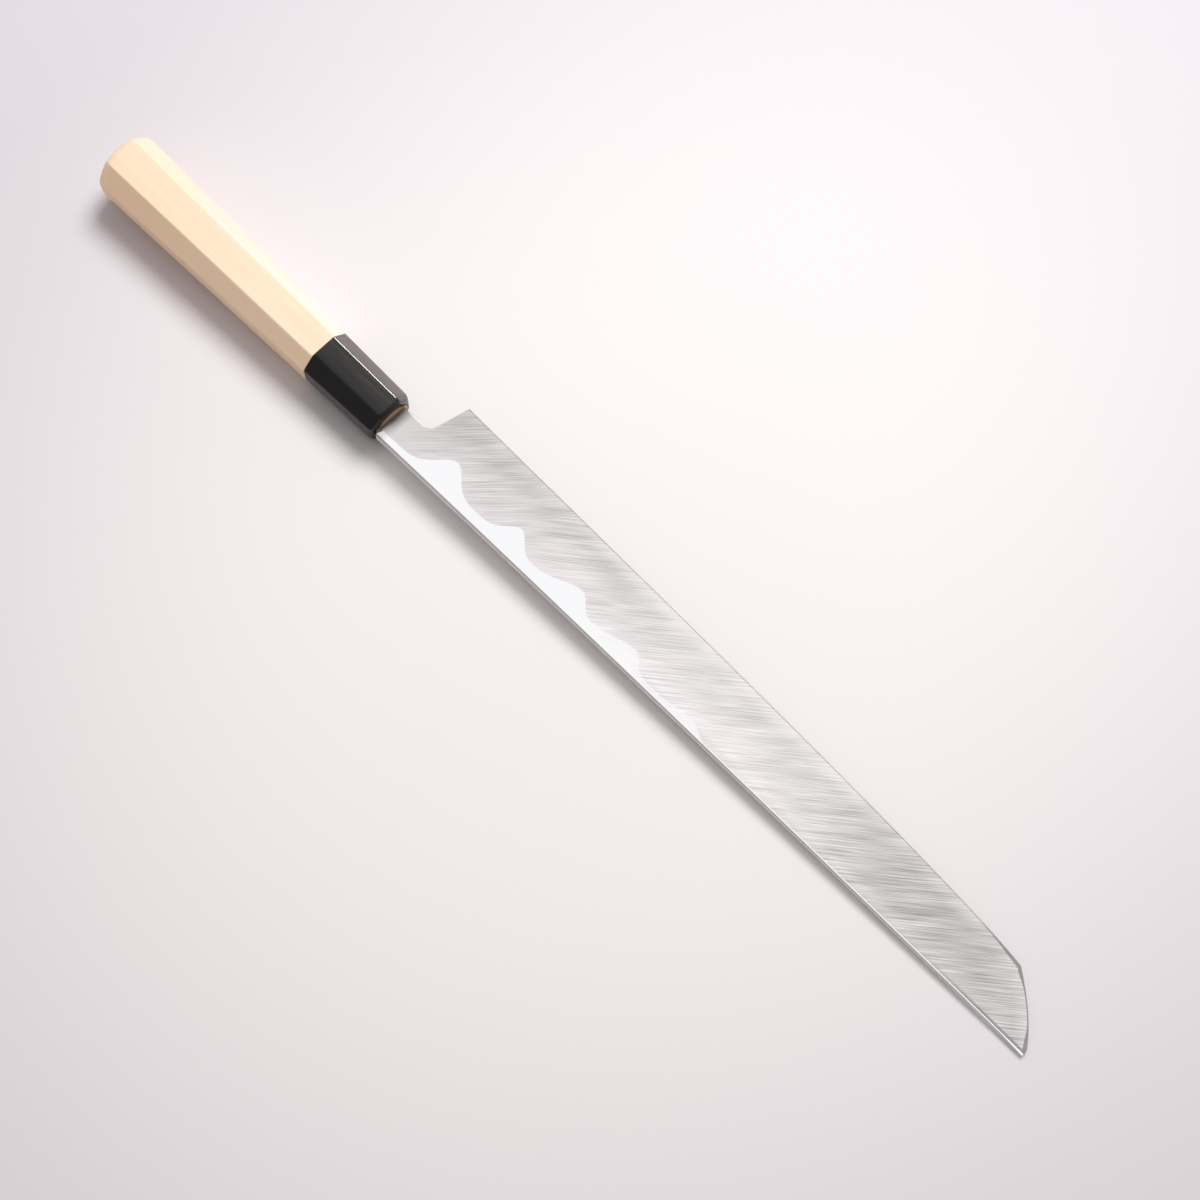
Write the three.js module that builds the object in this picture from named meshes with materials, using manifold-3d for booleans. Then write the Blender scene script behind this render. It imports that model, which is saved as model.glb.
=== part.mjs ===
// A takobiki, the long single-bevel slicing knife, lying on its front face on a table.
// Millimetres. The knife is drawn on axes of its own and is then laid on the table:
// x runs from the handle to the tip, y from the spine to the cutting edge, z out of the back face.
// There x = 0 is the ferrule's front face, y = 0 the spine and z = 0 the plane of the back face.

import * as THREE from 'three';
import { mergeVertices } from 'three/addons/utils/BufferGeometryUtils.js';
import Module from 'manifold-3d';

// Blade outline
const EDGE_LENGTH = 290; // heel corner to tip, along the knife
const HEEL_REACH = 17.4; // ferrule face to heel corner, along the knife
const HEEL_HEIGHT = 30.45; // spine to cutting edge at the heel
const SHOULDER_HEIGHT = 21.45; // spine to cutting edge where the curved tip starts
const SHOULDER_SETBACK = 19.5; // that shoulder to the tip, along the knife
const EDGE_FALL_AT_HEEL = 1.5; // slope of the cutting edge at the heel, degrees
const EDGE_FALL_AT_SHOULDER = 8.2; // slope of the cutting edge at the shoulder, degrees
const STRAIGHT_RUN_AT_HEEL = 52; // how far the heel's slope carries along the edge
const STRAIGHT_RUN_AT_SHOULDER = 43; // how far the shoulder's slope carries along the edge
const TIP_FALL_AT_SHOULDER = 36; // slope of the tip's curve at the shoulder, degrees
const TIP_FALL_AT_POINT = 58; // slope of the tip's curve at the point, degrees
const POINT_FLAT = 2.5; // height of the blunt end at the very point
const SPINE_BOW = 0.75; // how far the spine's middle bows towards the cutting edge
const SPINE_DROP = 0.45; // how far the spine's end at the tip lies on the other side of its line at the ferrule
const NECK_HEIGHT = 14.55; // spine to the lower side of the neck
const CHOIL_LEAN = 15; // lean of the heel's rear face towards the tip, degrees
const CHOIL_FILLET = 3.2; // radius in the corner between the neck and the heel

// Blade section
const NECK_THICKNESS = 4.6; // at the ferrule
const POINT_THICKNESS = 2; // that the taper has at the tip, where the bevel then takes most of it away
const BEVEL_WIDTH = 15.5; // cutting edge to the ridge on the front face
const EDGE_THICKNESS = 0.12; // left along the cutting edge
const SPINE_EASE = 0.5; // chamfer on both corners of the spine
const STEEL_SHARE = 0.3; // part of the thickness that is edge steel
const WELD_GAP = 0.1; // kept between the two layers
const BACK_LAND = 4.5; // flat of the back face along the spine, at the heel
const BACK_RIM = 0.9; // flat of the back face along the cutting edge
const HOLLOW_RADIUS = 190; // of the wheel that hollows the back face

// Tang
const TANG_LENGTH = 104; // inside the handle, from the ferrule's front face
const TANG_HEIGHT = 10; // at the neck
const TANG_THICKNESS = 2.5; // at the neck
const TANG_END_HEIGHT = 5; // at its end
const TANG_END_THICKNESS = 1.8; // at its end
const TANG_CLEARANCE = 0.3; // round the tang in its slot

// Handle
const HANDLE_LENGTH = 147.2; // butt to the ferrule's front face
const FERRULE_LENGTH = 34.3; // of the horn
const FRONT_HEIGHT = 19.2; // along y, at the ferrule's front face
const FRONT_WIDTH = 18.2; // along z, at the ferrule's front face
const FRONT_CORNER = 4.65; // side of the octagon's cut corners at the front
const BUTT_HEIGHT = 26.25; // along y, at the butt
const BUTT_WIDTH = 19.2; // along z, at the butt
const BUTT_CORNER = 6.67; // side of the octagon's cut corners at the butt
const AXIS_AT_FRONT = 8.4; // spine line to the handle's axis at the front
const AXIS_AT_BUTT = 8.75; // spine line to the handle's axis at the butt
const FERRULE_ROUND = 1.8; // rounding of the ferrule's front edge
const BUTT_EASE = 1.5; // how far the octagon draws in towards the butt
const BUTT_EASE_RUN = 5; // over which length it does
const BUTT_DOME_RADIUS = 20; // of the dome that ends the butt
const BUTT_DOME_STRETCH = 1.21; // how much wider that dome is along y than along z
const BUTT_APEX_SHIFT = 2; // handle's axis to the top of the dome, towards the cutting edge
const BORE_HEIGHT = 15.2; // oval bore of the ferrule, along y
const BORE_WIDTH = 11; // oval bore of the ferrule, along z
const TENON_CLEARANCE = 0.3; // round the tenon in the bore
const TENON_PROUD = 1; // how far the tenon's domed end stands out of the ferrule
const JOINT_GAP = 0.3; // between the horn and the wood, and between the tenon and the neck

// Fineness of the curves
const CURVE_STEPS = 14;
const ROUND_STEPS = 4;
const OVAL_STEPS = 40;
const HOLLOW_STEPS = 6;
const DOME_STEPS = 10;

const wasm = await Module();
wasm.setup();

const radians = THREE.MathUtils.degToRad;
const lerp = THREE.MathUtils.lerp;
const clamp = THREE.MathUtils.clamp;

const heelX = HEEL_REACH;
const tipX = HEEL_REACH + EDGE_LENGTH;
const shoulderX = tipX - SHOULDER_SETBACK;
const neckX = TENON_PROUD + JOINT_GAP;
const handleZ = -NECK_THICKNESS / 2;

// Closed solid through a row of sections. Each section is { x, ring }, and a ring holds the same number of
// (y, z) points each time, counter-clockwise seen from the tip.
function loft(sections) {
  const count = sections[0].ring.length;
  const positions = sections.flatMap(({ x, ring }) => ring.flatMap((point) => [x, point.x, point.y]));
  const faces = [];
  for (let i = 0; i + 1 < sections.length; i += 1) {
    for (let j = 0; j < count; j += 1) {
      const next = (j + 1) % count;
      const near = i * count;
      const far = near + count;
      faces.push(near + j, near + next, far + next);
      faces.push(near + j, far + next, far + j);
    }
  }
  const last = (sections.length - 1) * count;
  for (const [a, b, c] of THREE.ShapeUtils.triangulateShape(sections[0].ring, [])) {
    faces.push(a, c, b);
  }
  for (const [a, b, c] of THREE.ShapeUtils.triangulateShape(sections.at(-1).ring, [])) {
    faces.push(last + a, last + b, last + c);
  }
  const geometry = new THREE.BufferGeometry();
  geometry.setAttribute('position', new THREE.Float32BufferAttribute(positions, 3));
  geometry.setIndex(faces);
  return geometry;
}

function toSolid(geometry) {
  geometry.deleteAttribute('normal');
  geometry.deleteAttribute('uv');
  const merged = mergeVertices(geometry);
  return new wasm.Manifold(new wasm.Mesh({
    numProp: 3,
    vertProperties: new Float32Array(merged.getAttribute('position').array),
    triVerts: new Uint32Array(merged.getIndex().array),
  }));
}

function toGeometry(solid) {
  const mesh = solid.getMesh();
  const geometry = new THREE.BufferGeometry();
  geometry.setAttribute('position', new THREE.Float32BufferAttribute(mesh.vertProperties, 3));
  geometry.setIndex(Array.from(mesh.triVerts));
  return geometry;
}

function piece(name, geometry, color, roughness, metalness) {
  const shaded = geometry.toNonIndexed();
  shaded.computeVertexNormals();
  const mesh = new THREE.Mesh(shaded, new THREE.MeshStandardMaterial({ color, roughness, metalness }));
  mesh.name = name;
  return mesh;
}

// Blade

// The cutting edge as a curve from the heel to the shoulder.
function edgeCurve() {
  return new THREE.CubicBezierCurve(
    new THREE.Vector2(heelX, HEEL_HEIGHT),
    new THREE.Vector2(
      heelX + STRAIGHT_RUN_AT_HEEL,
      HEEL_HEIGHT - STRAIGHT_RUN_AT_HEEL * Math.tan(radians(EDGE_FALL_AT_HEEL)),
    ),
    new THREE.Vector2(
      shoulderX - STRAIGHT_RUN_AT_SHOULDER,
      SHOULDER_HEIGHT + STRAIGHT_RUN_AT_SHOULDER * Math.tan(radians(EDGE_FALL_AT_SHOULDER)),
    ),
    new THREE.Vector2(shoulderX, SHOULDER_HEIGHT),
  );
}

// The curved tip from the shoulder to the point, with its control point where the two end slopes meet.
function tipCurve() {
  const first = Math.tan(radians(TIP_FALL_AT_SHOULDER));
  const second = Math.tan(radians(TIP_FALL_AT_POINT));
  const point = POINT_FLAT - SPINE_DROP;
  const fall = SHOULDER_HEIGHT - point;
  const along = (second * SHOULDER_SETBACK - fall) / (second - first);
  return new THREE.QuadraticBezierCurve(
    new THREE.Vector2(shoulderX, SHOULDER_HEIGHT),
    new THREE.Vector2(shoulderX + along, SHOULDER_HEIGHT - along * first),
    new THREE.Vector2(tipX, point),
  );
}

// The rear of the blade: along the neck, round the fillet and up the leaning rear face of the heel.
function neckPoints() {
  const lean = radians(CHOIL_LEAN);
  const rise = HEEL_HEIGHT - NECK_HEIGHT;
  const cornerX = heelX - rise * Math.tan(lean);
  const turn = Math.PI / 2 - lean;
  const setback = CHOIL_FILLET * Math.tan(turn / 2);
  const arc = new THREE.EllipseCurve(
    cornerX - setback,
    NECK_HEIGHT + CHOIL_FILLET,
    CHOIL_FILLET,
    CHOIL_FILLET,
    -Math.PI / 2,
    -Math.PI / 2 + turn,
  );
  return [new THREE.Vector2(neckX, NECK_HEIGHT), ...arc.getPoints(ROUND_STEPS)];
}

// The spine's y: a shallow bow over the line from the ferrule to the tip.
function spineAt(x) {
  const along = x / tipX;
  return 4 * SPINE_BOW * along * (1 - along) - SPINE_DROP * along;
}

// What every section of the blade shares: the spine, where the blade is cut off (y), where the ground edge lies or
// would lie (edge), how wide the bevel is there, and how thick the blade is under any point of the back face.
function bladeStation(x, y, edge, slope) {
  const thickness = lerp(NECK_THICKNESS, POINT_THICKNESS, x / tipX);
  const spine = spineAt(x);
  const bevel = BEVEL_WIDTH / Math.cos(Math.atan(slope));
  const rate = (thickness - EDGE_THICKNESS) / bevel;
  const depth = (at) => Math.min(thickness, EDGE_THICKNESS + (edge - at) * rate);
  const steel = Math.max(EDGE_THICKNESS, STEEL_SHARE * depth(spine));
  return {
    x,
    y,
    spine,
    edge,
    bevel,
    steel,
    depth,
    reach: (deep) => Math.min(y, edge - (deep - EDGE_THICKNESS) / rate),
    ease: Math.min(SPINE_EASE, 0.3 * (y - spine), 0.6 * steel),
  };
}

function bladeStations() {
  const heelFall = Math.tan(radians(EDGE_FALL_AT_HEEL));
  const stations = neckPoints().map(({ x, y }) => (
    bladeStation(x, y, HEEL_HEIGHT + (heelX - x) * heelFall, heelFall)
  ));
  for (const curve of [edgeCurve(), tipCurve()]) {
    const skipsFirst = stations.at(-1).x === shoulderX;
    for (let i = skipsFirst ? 1 : 0; i <= CURVE_STEPS; i += 1) {
      const point = curve.getPoint(i / CURVE_STEPS);
      const tangent = curve.getTangent(i / CURVE_STEPS);
      stations.push(bladeStation(point.x, point.y, point.y, -tangent.y / tangent.x));
    }
  }
  return stations;
}

// Edge steel: flat land along the spine, hollow, flat rim along the cutting edge, and the bevel's lower part. The
// hollow follows the ground edge, so the neck and the heel's rear face cut straight through it.
function steelRing({ x, y, spine, edge, steel, depth, reach, ease }) {
  const high = edge - spine;
  const land = Math.min(BACK_LAND * (tipX - x) / EDGE_LENGTH + ease, 0.35 * high);
  const rim = Math.min(BACK_RIM, 0.2 * high);
  const span = high - rim - land;
  const hollow = (at) => {
    const across = Math.max(edge - rim - at, 0);
    return across * (span - across) / (2 * HOLLOW_RADIUS);
  };
  const inside = y - 0.1 * rim;
  const start = Math.min(inside, edge - rim);
  const ring = [
    new THREE.Vector2(spine, -steel),
    new THREE.Vector2(Math.min(inside, reach(steel)), -steel),
    new THREE.Vector2(y, -Math.min(steel, depth(y))),
    new THREE.Vector2(y, -hollow(y)),
  ];
  for (let i = 0; i <= HOLLOW_STEPS; i += 1) {
    const at = lerp(start, spine + land, i / HOLLOW_STEPS);
    ring.push(new THREE.Vector2(at, -hollow(at)));
  }
  ring.push(new THREE.Vector2(spine + ease, 0));
  ring.push(new THREE.Vector2(spine, -ease));
  return ring;
}

// Soft iron under the steel: spine, flat front face up to the ridge, and the bevel's upper part.
function ironRing({ y, spine, edge, bevel, steel, depth, reach, ease }) {
  const top = steel + WELD_GAP;
  const eased = spine + ease;
  const ridge = clamp(edge - bevel, lerp(eased, y, 0.25), lerp(eased, y, 0.5));
  const outer = reach(top);
  const lower = outer < y ? (ridge + outer) / 2 : y;
  return [
    new THREE.Vector2(spine, ease - depth(spine)),
    new THREE.Vector2(eased, -depth(eased)),
    new THREE.Vector2(ridge, -depth(ridge)),
    new THREE.Vector2(lower, -depth(lower)),
    new THREE.Vector2(outer, -top),
    new THREE.Vector2(spine, -top),
  ];
}

// The tang's section, with as many points as the iron's, grown by a clearance.
function tangRing(share, clearance) {
  const height = lerp(TANG_HEIGHT, TANG_END_HEIGHT, share) + 2 * clearance;
  const thickness = lerp(TANG_THICKNESS, TANG_END_THICKNESS, share) + 2 * clearance;
  const axis = lerp(AXIS_AT_FRONT, AXIS_AT_BUTT, share * TANG_LENGTH / HANDLE_LENGTH);
  const middle = -(NECK_THICKNESS * (1 + STEEL_SHARE) + WELD_GAP) / 2;
  const ease = 0.1 * thickness;
  const [low, high] = [axis - height / 2, axis + height / 2];
  const [bottom, top] = [middle - thickness / 2, middle + thickness / 2];
  return [
    new THREE.Vector2(low, bottom + ease),
    new THREE.Vector2(low + ease, bottom),
    new THREE.Vector2(axis, bottom),
    new THREE.Vector2(high, bottom),
    new THREE.Vector2(high, top),
    new THREE.Vector2(low, top),
  ];
}

function edgeSteel(stations) {
  return loft(stations.map((station) => ({ x: station.x, ring: steelRing(station) })));
}

function bladeIron(stations) {
  const thick = stations.filter(({ spine, steel, depth }) => depth(spine) > steel + 4 * WELD_GAP);
  return loft([
    { x: -TANG_LENGTH, ring: tangRing(1, 0) },
    { x: neckX, ring: tangRing(0, 0) },
    ...thick.map((station) => ({ x: station.x, ring: ironRing(station) })),
  ]);
}

// Handle

// The octagon at x, drawn in by an inset all round.
function octagon(x, inset) {
  const share = -x / HANDLE_LENGTH;
  const half = lerp(FRONT_HEIGHT, BUTT_HEIGHT, share) / 2 - inset;
  const tall = lerp(FRONT_WIDTH, BUTT_WIDTH, share) / 2 - inset;
  const corner = lerp(FRONT_CORNER, BUTT_CORNER, share) - inset * (2 - Math.SQRT2);
  const axis = lerp(AXIS_AT_FRONT, AXIS_AT_BUTT, share);
  const corners = [
    [half - corner, -tall],
    [half, corner - tall],
    [half, tall - corner],
    [half - corner, tall],
    [corner - half, tall],
    [-half, tall - corner],
    [-half, corner - tall],
    [corner - half, -tall],
  ];
  return corners.map(([y, z]) => new THREE.Vector2(axis + y, handleZ + z));
}

// Sections of the ferrule's rounded front end: the inset grows along a quarter circle.
function roundedFront() {
  const sections = [];
  for (let i = 0; i <= ROUND_STEPS; i += 1) {
    const angle = (Math.PI / 2) * (i / ROUND_STEPS);
    const x = FERRULE_ROUND * (Math.sin(angle) - 1);
    sections.push({ x, ring: octagon(x, FERRULE_ROUND * (1 - Math.cos(angle))) });
  }
  return sections;
}

function oval(height, width) {
  const curve = new THREE.EllipseCurve(AXIS_AT_FRONT, handleZ, height / 2, width / 2);
  return curve.getPoints(OVAL_STEPS).slice(0, OVAL_STEPS);
}

function hornFerrule() {
  const back = -FERRULE_LENGTH;
  const body = loft([{ x: back, ring: octagon(back, 0) }, ...roundedFront()]);
  const bore = loft([
    { x: back - FERRULE_ROUND, ring: oval(BORE_HEIGHT, BORE_WIDTH) },
    { x: FERRULE_ROUND, ring: oval(BORE_HEIGHT, BORE_WIDTH) },
  ]);
  return toGeometry(toSolid(body).subtract(toSolid(bore)));
}

// A long round body with a domed end, which shapes the butt where the two meet.
function buttDome() {
  const reach = Math.asin(clamp(BUTT_HEIGHT / BUTT_DOME_RADIUS, 0, 1));
  const profile = [];
  for (let i = 0; i <= DOME_STEPS; i += 1) {
    const angle = reach * i / DOME_STEPS;
    profile.push(new THREE.Vector2(
      BUTT_DOME_RADIUS * Math.sin(angle),
      BUTT_DOME_RADIUS * (1 - Math.cos(angle)),
    ));
  }
  profile.push(new THREE.Vector2(profile.at(-1).x, HANDLE_LENGTH + BUTT_DOME_RADIUS));
  profile.push(new THREE.Vector2(0, HANDLE_LENGTH + BUTT_DOME_RADIUS));
  const dome = new THREE.LatheGeometry(profile, OVAL_STEPS);
  dome.rotateZ(-Math.PI / 2);
  dome.scale(1, BUTT_DOME_STRETCH, 1);
  dome.translate(-HANDLE_LENGTH, AXIS_AT_BUTT + BUTT_APEX_SHIFT, handleZ);
  return dome;
}

function woodHandle() {
  const shoulder = -FERRULE_LENGTH - JOINT_GAP;
  const eased = BUTT_EASE_RUN - HANDLE_LENGTH;
  const grip = loft([
    { x: -HANDLE_LENGTH, ring: octagon(-HANDLE_LENGTH, BUTT_EASE) },
    { x: eased, ring: octagon(eased, 0) },
    { x: shoulder, ring: octagon(shoulder, 0) },
  ]);
  const height = BORE_HEIGHT - 2 * TENON_CLEARANCE;
  const width = BORE_WIDTH - 2 * TENON_CLEARANCE;
  const sections = [{ x: shoulder - FERRULE_ROUND, ring: oval(height, width) }];
  for (let i = 0; i <= ROUND_STEPS; i += 1) {
    const rise = i / ROUND_STEPS;
    const draw = 2 * TENON_PROUD * (1 - Math.sqrt(1 - 0.8 * rise * rise));
    sections.push({ x: TENON_PROUD * rise, ring: oval(height - draw, width - draw) });
  }
  const slot = loft([
    { x: -TANG_LENGTH - TANG_CLEARANCE, ring: tangRing(1, TANG_CLEARANCE) },
    { x: neckX, ring: tangRing(0, TANG_CLEARANCE) },
  ]);
  const shaped = toSolid(grip).intersect(toSolid(buttDome()));
  return toGeometry(shaped.add(toSolid(loft(sections))).subtract(toSolid(slot)));
}

// Assembly

const stations = bladeStations();
const knife = new THREE.Group();
knife.add(
  piece('edge_steel', edgeSteel(stations), 0xc9c8c6, 0.3, 1),
  piece('blade_iron', bladeIron(stations), 0xa9a7a4, 0.4, 1),
  piece('horn_ferrule', hornFerrule(), 0x1f1d1c, 0.2, 0),
  piece('wood_handle', woodHandle(), 0xf2dcc0, 0.6, 0),
);

// The knife rests on the ferrule's lower front edge and on the blade's underside, so it tilts about y by the
// least slope from the one to the other.
const heldX = -FERRULE_ROUND;
const heldZ = octagon(heldX, 0)[0].y;
const slopes = stations.map(({ x, spine, depth }) => (-depth(spine) - heldZ) / (x - heldX));
knife.rotation.y = Math.atan(Math.min(...slopes));

// The origin is under the middle of the knife, on the table.
const box = new THREE.Box3().setFromObject(knife, true);
const middle = box.getCenter(new THREE.Vector3());
knife.position.set(-middle.x, -middle.y, -box.min.z);

const takobiki = new THREE.Group();
takobiki.add(knife);

export default takobiki;
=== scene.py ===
"""Looks of a takobiki slicing knife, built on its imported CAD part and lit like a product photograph.

Shapes are drawn in millimetres on the knife's own axes and are then laid on the table. On these axes x runs
from the handle to the tip with zero at the ferrule's front face, y from the spine to the cutting edge, and z
out of the back face.
"""

import logging
import math
from collections.abc import Callable
from dataclasses import dataclass, field
from enum import Enum

import bpy
import numpy as np
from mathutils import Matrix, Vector


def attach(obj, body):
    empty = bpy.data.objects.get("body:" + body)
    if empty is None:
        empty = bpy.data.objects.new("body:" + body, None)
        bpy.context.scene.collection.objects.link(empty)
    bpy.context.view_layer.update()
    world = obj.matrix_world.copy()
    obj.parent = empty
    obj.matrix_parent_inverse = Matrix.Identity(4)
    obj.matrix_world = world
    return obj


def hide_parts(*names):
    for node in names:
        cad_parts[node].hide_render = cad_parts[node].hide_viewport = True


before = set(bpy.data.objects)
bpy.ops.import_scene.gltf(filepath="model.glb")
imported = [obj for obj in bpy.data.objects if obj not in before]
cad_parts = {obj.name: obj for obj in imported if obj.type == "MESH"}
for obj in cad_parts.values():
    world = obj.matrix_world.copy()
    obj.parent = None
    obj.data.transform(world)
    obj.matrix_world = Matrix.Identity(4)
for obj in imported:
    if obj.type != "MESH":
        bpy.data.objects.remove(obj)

log = logging.getLogger("takobiki")

Piece = bpy.types.Object
Pair = tuple[float, float]
Point = tuple[float, float, float]
Colour = tuple[float, float, float]
Sides = list[tuple[np.ndarray, np.ndarray]]

MM = 0.001
PLACE = "place"
NOISE_MEAN = 0.5
GRIND_DEPTH = 0.00001
POLISH_DEPTH = 0.000008
BLACK: Colour = (0.0, 0.0, 0.0)


def quarter(steps: int) -> np.ndarray:
    """Gives the angles of a quarter turn in even steps."""
    return np.linspace(0.0, math.pi / 2, steps)


def curve(t: np.ndarray, *controls: np.ndarray) -> np.ndarray:
    """Walks a smooth curve: each control point weighs its binomial share of t and 1 - t.

    Args:
        t: Shares of the way from 0 to 1, in a shape that fits the control points.
        controls: The control points in order.

    Returns:
        The points at these shares.
    """
    order = len(controls) - 1
    weights = [math.comb(order, i) * t**i * (1 - t) ** (order - i) for i in range(order + 1)]
    return sum(weight * control for weight, control in zip(weights, controls))


class Layer(Enum):
    """Which surface of the steel layer a face belongs to; the value is its material index."""

    BACK = 0
    GROUND = 1


@dataclass(frozen=True)
class Pose:
    """How the knife lies: tilted about y with the tip down, then moved on to the table.

    Attributes:
        tilt: Angle about y, in radians.
        offset: Place of the knife's own zero point in the part's frame, in millimetres.
    """

    tilt: float = math.radians(1.818362)
    offset: Point = (-80.023173, -13.091424, 11.343255)

    def lay(self, points: np.ndarray) -> np.ndarray:
        """Moves points from the knife's axes to the part's frame.

        Args:
            points: Array of any shape that ends in three coordinates, in millimetres.

        Returns:
            The same points in the part's frame, in metres.
        """
        cos, sin = math.cos(self.tilt), math.sin(self.tilt)
        turn = np.array([[cos, 0.0, sin], [0.0, 1.0, 0.0], [-sin, 0.0, cos]])
        return (points @ turn.T + np.array(self.offset)) * MM


class Skin:
    """A mesh that is gathered from lofts and becomes one object."""

    def __init__(self, name: str, pose: Pose) -> None:
        """Starts an empty mesh.

        Args:
            name: Name of the object to be.
            pose: How the knife lies on the table.
        """
        self.name = name
        self.pose = pose
        self.points: list[np.ndarray] = []
        self.places: list[np.ndarray] = []
        self.faces: list[list[int]] = []
        self.layers: list[int] = []
        self.count = 0

    def loft(self, rings: np.ndarray, places: np.ndarray, layers: np.ndarray, closed: bool = False) -> None:
        """Adds a surface through a row of rings.

        Args:
            rings: Array (rings, points, 3) in the knife's axes, counter-clockwise seen from the tip.
            places: Array (rings, points, 3) that the finishes read as a surface attribute.
            layers: Material index of the strip that starts at each ring point.
            closed: True if the last ring joins the first one; otherwise both ends are capped.
        """
        rows, cols = rings.shape[:2]
        index = self.count + np.arange(rows * cols).reshape(rows, cols)
        near = index if closed else index[:-1]
        far = np.roll(index, -1, axis=0) if closed else index[1:]
        quads = np.stack([near, np.roll(near, -1, 1), np.roll(far, -1, 1), far], axis=-1).reshape(-1, 4)
        self.faces.extend(quads.tolist())
        self.layers.extend(np.tile(layers, len(near)).tolist())
        if not closed:
            self.faces.append(index[0, ::-1].tolist())
            self.faces.append(index[-1].tolist())
            self.layers.extend([int(layers.max())] * 2)
        self.points.append(rings.reshape(-1, 3))
        self.places.append(places.reshape(-1, 3))
        self.count += rows * cols

    def build(self, crease: float) -> Piece:
        """Makes the object.

        Args:
            crease: Angle in degrees above which an edge stays sharp.

        Returns:
            The new object, linked to the scene.
        """
        mesh = bpy.data.meshes.new(self.name)
        mesh.from_pydata(self.pose.lay(np.concatenate(self.points)).tolist(), [], self.faces)
        mesh.attributes.new(PLACE, "FLOAT_VECTOR", "POINT")
        places = np.concatenate(self.places).astype(np.float32)
        mesh.attributes[PLACE].data.foreach_set("vector", places.ravel())
        mesh.polygons.foreach_set("material_index", np.array(self.layers, dtype=np.int32))
        mesh.polygons.foreach_set("use_smooth", np.ones(len(self.faces), dtype=bool))
        mesh.set_sharp_from_angle(angle=math.radians(crease))
        mesh.update()
        built = bpy.data.objects.new(self.name, mesh)
        bpy.context.scene.collection.objects.link(built)
        log.info("%s: %d points, %d faces", self.name, self.count, len(self.faces))
        return built


@dataclass(frozen=True)
class Stations:
    """Sections of the blade from the neck to the tip, one value of each kind per section.

    Attributes:
        x: Place along the knife.
        cut: Where the blade's outline lies.
        edge: Where the ground edge lies, or would lie if the neck had not been cut away.
        slope: Slope of that edge.
    """

    x: np.ndarray
    cut: np.ndarray
    edge: np.ndarray
    slope: np.ndarray


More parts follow.
